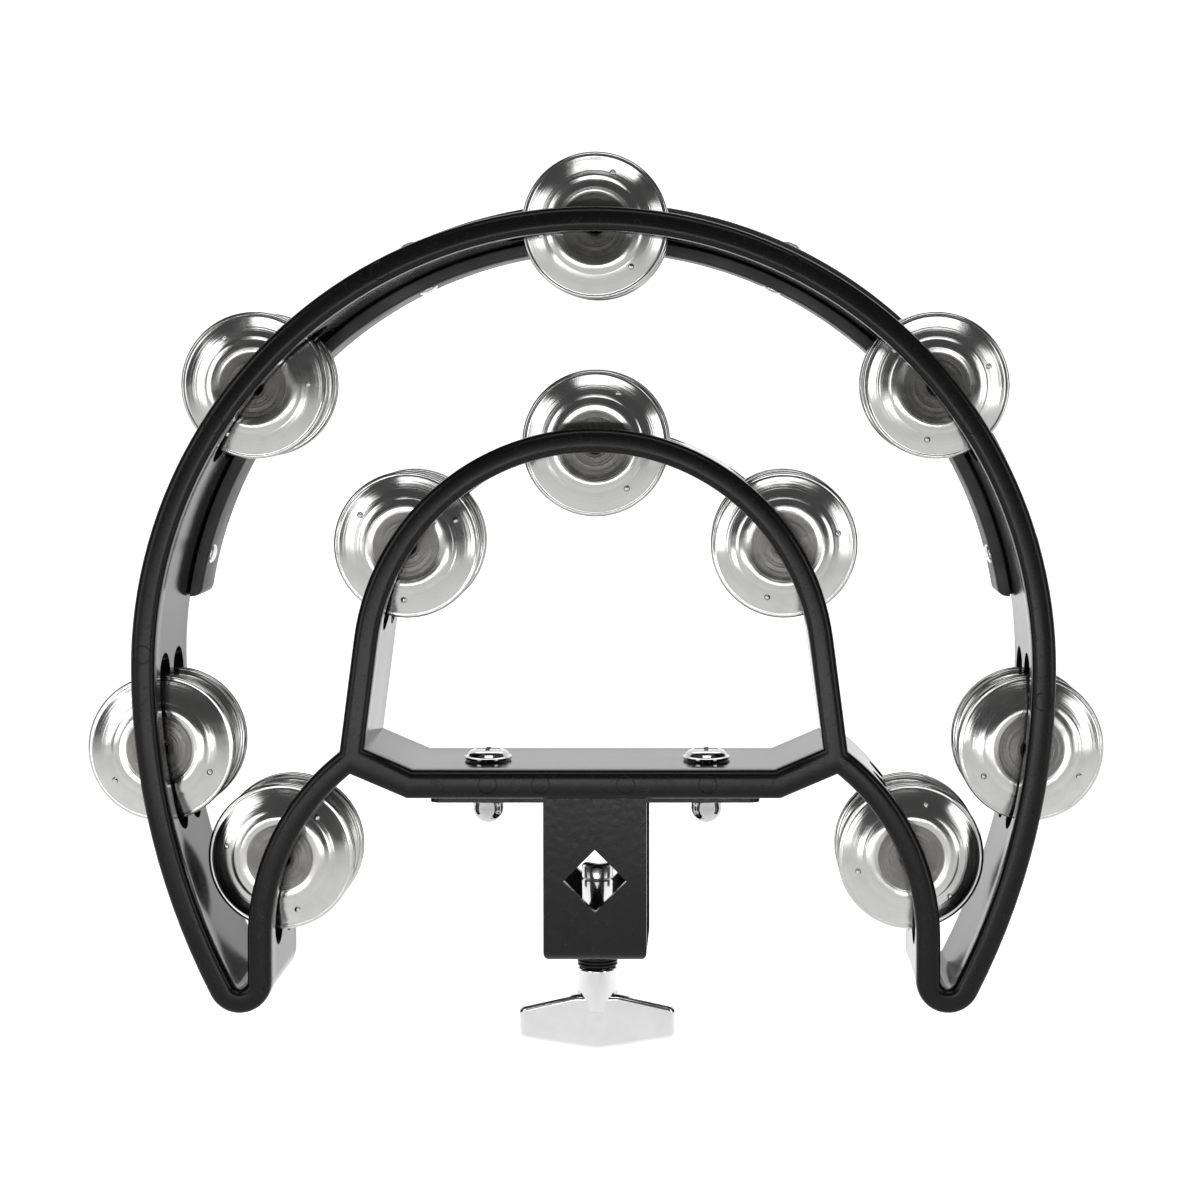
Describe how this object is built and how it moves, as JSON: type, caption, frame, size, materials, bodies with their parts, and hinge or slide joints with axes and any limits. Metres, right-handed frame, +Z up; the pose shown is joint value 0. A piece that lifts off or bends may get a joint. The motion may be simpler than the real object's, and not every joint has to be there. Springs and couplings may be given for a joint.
{
  "type": "mountable tambourine",
  "caption": "Crescent tambourine: moulded horseshoe frame with an inner hand arch, paired sheet-steel jingles in slots, a rear striking bar and a rod clamp under the crossbar.",
  "frame": {"origin": "on the axis of the rod that the clamp holds, at the middle of the frame's depth", "axes": "+X to the right across the frame, +Y from the front face to the striking bar, +Z up from the clamp to the top of the crescent"},
  "size_m": [0.2978, 0.058, 0.2647],
  "materials": {
    "frame_plastic": "satin-gloss moulded plastic",
    "bar_rubber": "smooth dark rubber",
    "bracket_paint": "gloss black paint",
    "fastener_chrome": "bright plating",
    "clamp_chrome": "bright plating",
    "pin_steel": "plain drawn wire",
    "jingle_steel": "polished sheet with spin marks"
  },
  "bodies": {
    "body": {"frame": "frame_plastic", "striking_bar": "bar_rubber", "clamp_bracket": "bracket_paint", "mounting_bolt_left": "fastener_chrome", "mounting_bolt_right": "fastener_chrome", "cap_nut_left": "fastener_chrome", "cap_nut_right": "fastener_chrome", "pin_top": "pin_steel", "pin_upper_left": "pin_steel", "pin_upper_right": "pin_steel", "pin_side_left": "pin_steel", "pin_side_right": "pin_steel", "pin_arch_top": "pin_steel", "pin_arch_left": "pin_steel", "pin_arch_right": "pin_steel", "pin_leg_left": "pin_steel", "pin_leg_right": "pin_steel"},
    "tip": {"screw_tip": "clamp_chrome"},
    "screw": {"clamp_screw": "clamp_chrome", "t_handle": "clamp_chrome"},
    "jingle_top_front_a_disc": {"jingle_top_front_a": "jingle_steel"},
    "jingle_top_front_b_disc": {"jingle_top_front_b": "jingle_steel"},
    "jingle_top_rear_a_disc": {"jingle_top_rear_a": "jingle_steel"},
    "jingle_top_rear_b_disc": {"jingle_top_rear_b": "jingle_steel"},
    "jingle_upper_left_front_a_disc": {"jingle_upper_left_front_a": "jingle_steel"},
    "jingle_upper_left_front_b_disc": {"jingle_upper_left_front_b": "jingle_steel"},
    "jingle_upper_left_rear_a_disc": {"jingle_upper_left_rear_a": "jingle_steel"},
    "jingle_upper_left_rear_b_disc": {"jingle_upper_left_rear_b": "jingle_steel"},
    "jingle_upper_right_front_a_disc": {"jingle_upper_right_front_a": "jingle_steel"},
    "jingle_upper_right_front_b_disc": {"jingle_upper_right_front_b": "jingle_steel"},
    "jingle_upper_right_rear_a_disc": {"jingle_upper_right_rear_a": "jingle_steel"},
    "jingle_upper_right_rear_b_disc": {"jingle_upper_right_rear_b": "jingle_steel"},
    "jingle_side_left_front_a_disc": {"jingle_side_left_front_a": "jingle_steel"},
    "jingle_side_left_front_b_disc": {"jingle_side_left_front_b": "jingle_steel"},
    "jingle_side_left_rear_a_disc": {"jingle_side_left_rear_a": "jingle_steel"},
    "jingle_side_left_rear_b_disc": {"jingle_side_left_rear_b": "jingle_steel"},
    "jingle_side_right_front_a_disc": {"jingle_side_right_front_a": "jingle_steel"},
    "jingle_side_right_front_b_disc": {"jingle_side_right_front_b": "jingle_steel"},
    "jingle_side_right_rear_a_disc": {"jingle_side_right_rear_a": "jingle_steel"},
    "jingle_side_right_rear_b_disc": {"jingle_side_right_rear_b": "jingle_steel"},
    "jingle_arch_top_front_a_disc": {"jingle_arch_top_front_a": "jingle_steel"},
    "jingle_arch_top_front_b_disc": {"jingle_arch_top_front_b": "jingle_steel"},
    "jingle_arch_top_rear_a_disc": {"jingle_arch_top_rear_a": "jingle_steel"},
    "jingle_arch_top_rear_b_disc": {"jingle_arch_top_rear_b": "jingle_steel"},
    "jingle_arch_left_front_a_disc": {"jingle_arch_left_front_a": "jingle_steel"},
    "jingle_arch_left_front_b_disc": {"jingle_arch_left_front_b": "jingle_steel"},
    "jingle_arch_left_rear_a_disc": {"jingle_arch_left_rear_a": "jingle_steel"},
    "jingle_arch_left_rear_b_disc": {"jingle_arch_left_rear_b": "jingle_steel"},
    "jingle_arch_right_front_a_disc": {"jingle_arch_right_front_a": "jingle_steel"},
    "jingle_arch_right_front_b_disc": {"jingle_arch_right_front_b": "jingle_steel"},
    "jingle_arch_right_rear_a_disc": {"jingle_arch_right_rear_a": "jingle_steel"},
    "jingle_arch_right_rear_b_disc": {"jingle_arch_right_rear_b": "jingle_steel"},
    "jingle_leg_left_front_a_disc": {"jingle_leg_left_front_a": "jingle_steel"},
    "jingle_leg_left_front_b_disc": {"jingle_leg_left_front_b": "jingle_steel"},
    "jingle_leg_left_rear_a_disc": {"jingle_leg_left_rear_a": "jingle_steel"},
    "jingle_leg_left_rear_b_disc": {"jingle_leg_left_rear_b": "jingle_steel"},
    "jingle_leg_right_front_a_disc": {"jingle_leg_right_front_a": "jingle_steel"},
    "jingle_leg_right_front_b_disc": {"jingle_leg_right_front_b": "jingle_steel"},
    "jingle_leg_right_rear_a_disc": {"jingle_leg_right_rear_a": "jingle_steel"},
    "jingle_leg_right_rear_b_disc": {"jingle_leg_right_rear_b": "jingle_steel"}
  },
  "joints": [
    {"name": "jingle_top_front_a_slide", "type": "slide", "parent": "body", "child": "jingle_top_front_a_disc", "axis": [0, 1, 0], "range_m": [-0.0018, 0.0008]},
    {"name": "jingle_top_front_b_slide", "type": "slide", "parent": "body", "child": "jingle_top_front_b_disc", "axis": [0, 1, 0], "range_m": [-0.0008, 0.0018]},
    {"name": "jingle_top_rear_a_slide", "type": "slide", "parent": "body", "child": "jingle_top_rear_a_disc", "axis": [0, 1, 0], "range_m": [-0.0018, 0.0008]},
    {"name": "jingle_top_rear_b_slide", "type": "slide", "parent": "body", "child": "jingle_top_rear_b_disc", "axis": [0, 1, 0], "range_m": [-0.0008, 0.0018]},
    {"name": "jingle_upper_left_front_a_slide", "type": "slide", "parent": "body", "child": "jingle_upper_left_front_a_disc", "axis": [0, 1, 0], "range_m": [-0.0018, 0.0008]},
    {"name": "jingle_upper_left_front_b_slide", "type": "slide", "parent": "body", "child": "jingle_upper_left_front_b_disc", "axis": [0, 1, 0], "range_m": [-0.0008, 0.0018]},
    {"name": "jingle_upper_left_rear_a_slide", "type": "slide", "parent": "body", "child": "jingle_upper_left_rear_a_disc", "axis": [0, 1, 0], "range_m": [-0.0018, 0.0008]},
    {"name": "jingle_upper_left_rear_b_slide", "type": "slide", "parent": "body", "child": "jingle_upper_left_rear_b_disc", "axis": [0, 1, 0], "range_m": [-0.0008, 0.0018]},
    {"name": "jingle_upper_right_front_a_slide", "type": "slide", "parent": "body", "child": "jingle_upper_right_front_a_disc", "axis": [0, 1, 0], "range_m": [-0.0018, 0.0008]},
    {"name": "jingle_upper_right_front_b_slide", "type": "slide", "parent": "body", "child": "jingle_upper_right_front_b_disc", "axis": [0, 1, 0], "range_m": [-0.0008, 0.0018]},
    {"name": "jingle_upper_right_rear_a_slide", "type": "slide", "parent": "body", "child": "jingle_upper_right_rear_a_disc", "axis": [0, 1, 0], "range_m": [-0.0018, 0.0008]},
    {"name": "jingle_upper_right_rear_b_slide", "type": "slide", "parent": "body", "child": "jingle_upper_right_rear_b_disc", "axis": [0, 1, 0], "range_m": [-0.0008, 0.0018]},
    {"name": "jingle_side_left_front_a_slide", "type": "slide", "parent": "body", "child": "jingle_side_left_front_a_disc", "axis": [0, 1, 0], "range_m": [-0.0018, 0.0008]},
    {"name": "jingle_side_left_front_b_slide", "type": "slide", "parent": "body", "child": "jingle_side_left_front_b_disc", "axis": [0, 1, 0], "range_m": [-0.0008, 0.0018]},
    {"name": "jingle_side_left_rear_a_slide", "type": "slide", "parent": "body", "child": "jingle_side_left_rear_a_disc", "axis": [0, 1, 0], "range_m": [-0.0018, 0.0008]},
    {"name": "jingle_side_left_rear_b_slide", "type": "slide", "parent": "body", "child": "jingle_side_left_rear_b_disc", "axis": [0, 1, 0], "range_m": [-0.0008, 0.0018]},
    {"name": "jingle_side_right_front_a_slide", "type": "slide", "parent": "body", "child": "jingle_side_right_front_a_disc", "axis": [0, 1, 0], "range_m": [-0.0018, 0.0008]},
    {"name": "jingle_side_right_front_b_slide", "type": "slide", "parent": "body", "child": "jingle_side_right_front_b_disc", "axis": [0, 1, 0], "range_m": [-0.0008, 0.0018]},
    {"name": "jingle_side_right_rear_a_slide", "type": "slide", "parent": "body", "child": "jingle_side_right_rear_a_disc", "axis": [0, 1, 0], "range_m": [-0.0018, 0.0008]},
    {"name": "jingle_side_right_rear_b_slide", "type": "slide", "parent": "body", "child": "jingle_side_right_rear_b_disc", "axis": [0, 1, 0], "range_m": [-0.0008, 0.0018]},
    {"name": "jingle_arch_top_front_a_slide", "type": "slide", "parent": "body", "child": "jingle_arch_top_front_a_disc", "axis": [0, 1, 0], "range_m": [-0.0018, 0.0008]},
    {"name": "jingle_arch_top_front_b_slide", "type": "slide", "parent": "body", "child": "jingle_arch_top_front_b_disc", "axis": [0, 1, 0], "range_m": [-0.0008, 0.0018]},
    {"name": "jingle_arch_top_rear_a_slide", "type": "slide", "parent": "body", "child": "jingle_arch_top_rear_a_disc", "axis": [0, 1, 0], "range_m": [-0.0018, 0.0008]},
    {"name": "jingle_arch_top_rear_b_slide", "type": "slide", "parent": "body", "child": "jingle_arch_top_rear_b_disc", "axis": [0, 1, 0], "range_m": [-0.0008, 0.0018]},
    {"name": "jingle_arch_left_front_a_slide", "type": "slide", "parent": "body", "child": "jingle_arch_left_front_a_disc", "axis": [0, 1, 0], "range_m": [-0.0018, 0.0008]},
    {"name": "jingle_arch_left_front_b_slide", "type": "slide", "parent": "body", "child": "jingle_arch_left_front_b_disc", "axis": [0, 1, 0], "range_m": [-0.0008, 0.0018]},
    {"name": "jingle_arch_left_rear_a_slide", "type": "slide", "parent": "body", "child": "jingle_arch_left_rear_a_disc", "axis": [0, 1, 0], "range_m": [-0.0018, 0.0008]},
    {"name": "jingle_arch_left_rear_b_slide", "type": "slide", "parent": "body", "child": "jingle_arch_left_rear_b_disc", "axis": [0, 1, 0], "range_m": [-0.0008, 0.0018]},
    {"name": "jingle_arch_right_front_a_slide", "type": "slide", "parent": "body", "child": "jingle_arch_right_front_a_disc", "axis": [0, 1, 0], "range_m": [-0.0018, 0.0008]},
    {"name": "jingle_arch_right_front_b_slide", "type": "slide", "parent": "body", "child": "jingle_arch_right_front_b_disc", "axis": [0, 1, 0], "range_m": [-0.0008, 0.0018]},
    {"name": "jingle_arch_right_rear_a_slide", "type": "slide", "parent": "body", "child": "jingle_arch_right_rear_a_disc", "axis": [0, 1, 0], "range_m": [-0.0018, 0.0008]},
    {"name": "jingle_arch_right_rear_b_slide", "type": "slide", "parent": "body", "child": "jingle_arch_right_rear_b_disc", "axis": [0, 1, 0], "range_m": [-0.0008, 0.0018]},
    {"name": "jingle_leg_left_front_a_slide", "type": "slide", "parent": "body", "child": "jingle_leg_left_front_a_disc", "axis": [0, 1, 0], "range_m": [-0.0018, 0.0008]},
    {"name": "jingle_leg_left_front_b_slide", "type": "slide", "parent": "body", "child": "jingle_leg_left_front_b_disc", "axis": [0, 1, 0], "range_m": [-0.0008, 0.0018]},
    {"name": "jingle_leg_left_rear_a_slide", "type": "slide", "parent": "body", "child": "jingle_leg_left_rear_a_disc", "axis": [0, 1, 0], "range_m": [-0.0018, 0.0008]},
    {"name": "jingle_leg_left_rear_b_slide", "type": "slide", "parent": "body", "child": "jingle_leg_left_rear_b_disc", "axis": [0, 1, 0], "range_m": [-0.0008, 0.0018]},
    {"name": "jingle_leg_right_front_a_slide", "type": "slide", "parent": "body", "child": "jingle_leg_right_front_a_disc", "axis": [0, 1, 0], "range_m": [-0.0018, 0.0008]},
    {"name": "jingle_leg_right_front_b_slide", "type": "slide", "parent": "body", "child": "jingle_leg_right_front_b_disc", "axis": [0, 1, 0], "range_m": [-0.0008, 0.0018]},
    {"name": "jingle_leg_right_rear_a_slide", "type": "slide", "parent": "body", "child": "jingle_leg_right_rear_a_disc", "axis": [0, 1, 0], "range_m": [-0.0018, 0.0008]},
    {"name": "jingle_leg_right_rear_b_slide", "type": "slide", "parent": "body", "child": "jingle_leg_right_rear_b_disc", "axis": [0, 1, 0], "range_m": [-0.0008, 0.0018]},
    {"name": "clamp_advance", "type": "slide", "parent": "body", "child": "tip", "axis": [0, 0, 1], "range_m": [-0.0117, 0]},
    {"name": "clamp_turn", "type": "hinge", "parent": "tip", "child": "screw", "pos_m": [0, 0, 0], "axis": [0, 0, 1], "range_deg": [-2790, 0]}
  ],
  "couplings": [
    {"joint": "clamp_advance", "follows": "clamp_turn", "m_per_rad": 0.00023873}
  ]
}
